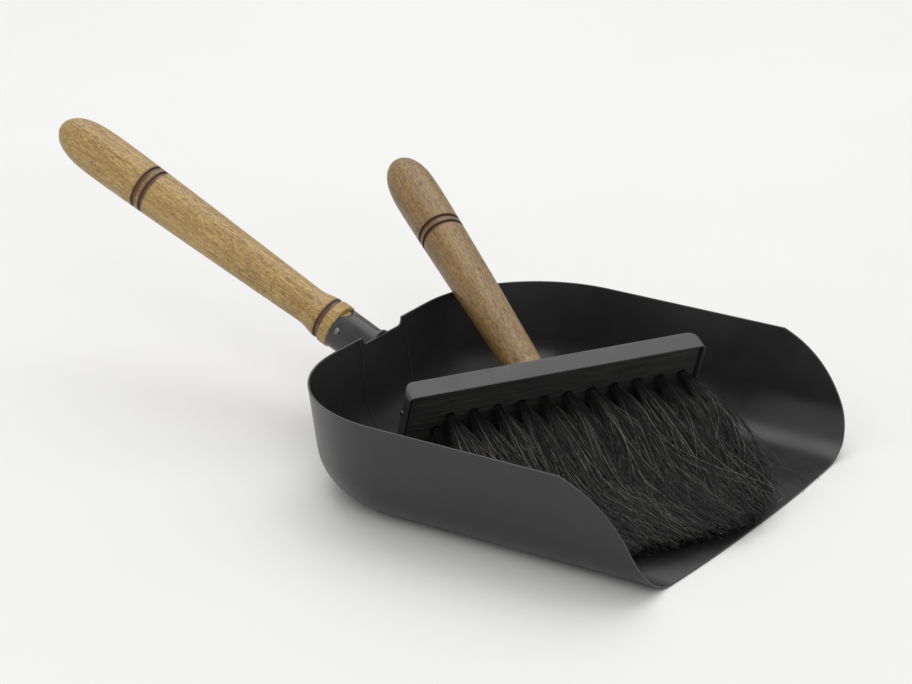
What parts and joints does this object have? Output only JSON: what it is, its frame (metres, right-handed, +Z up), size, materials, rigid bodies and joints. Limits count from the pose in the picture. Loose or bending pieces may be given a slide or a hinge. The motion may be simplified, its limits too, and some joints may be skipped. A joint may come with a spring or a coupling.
{
  "type": "dustpan and brush",
  "caption": "Deep sheet-steel hearth dustpan with a turned wooden handle, and a matching long-haired brush laid in it.",
  "frame": {"origin": "middle of the pan's flat underside", "axes": "+X from the pan's handle towards its lip, +Y across the pan towards the side where the brush's handle leaves it, +Z up"},
  "size_m": [0.461, 0.2458, 0.1454],
  "materials": {
    "powder_coat": "satin powder coat",
    "socket_steel": "semi-gloss coat",
    "cap_steel": "satin coat",
    "block": "matt",
    "pin_steel": "plain steel",
    "pan_wood": "oiled beech",
    "brush_wood": "oiled beech",
    "bristle": "stiff dark hair"
  },
  "bodies": {
    "pan": {"pan_shell": "powder_coat", "pan_back_panel": "powder_coat", "pan_seam_near": "powder_coat", "pan_seam_far": "powder_coat", "pan_socket": "socket_steel", "pan_socket_weld": "socket_steel", "pan_handle": "pan_wood", "pan_handle_pin": "pin_steel"},
    "brush": {"brush_cap": "cap_steel", "brush_block": "block", "cap_nail_near": "pin_steel", "cap_nail_far": "pin_steel", "tuft_anchors": "pin_steel", "bristle_row_1": "bristle", "bristle_row_2": "bristle", "bristle_row_3": "bristle", "bristle_row_4": "bristle", "brush_stud": "pin_steel", "brush_stud_weld": "pin_steel", "brush_handle": "brush_wood"}
  },
  "joints": [
    {"name": "brush_lift", "type": "slide", "parent": "pan", "child": "brush", "axis": [0, 0, 1], "range_m": [0, 0.12]}
  ]
}
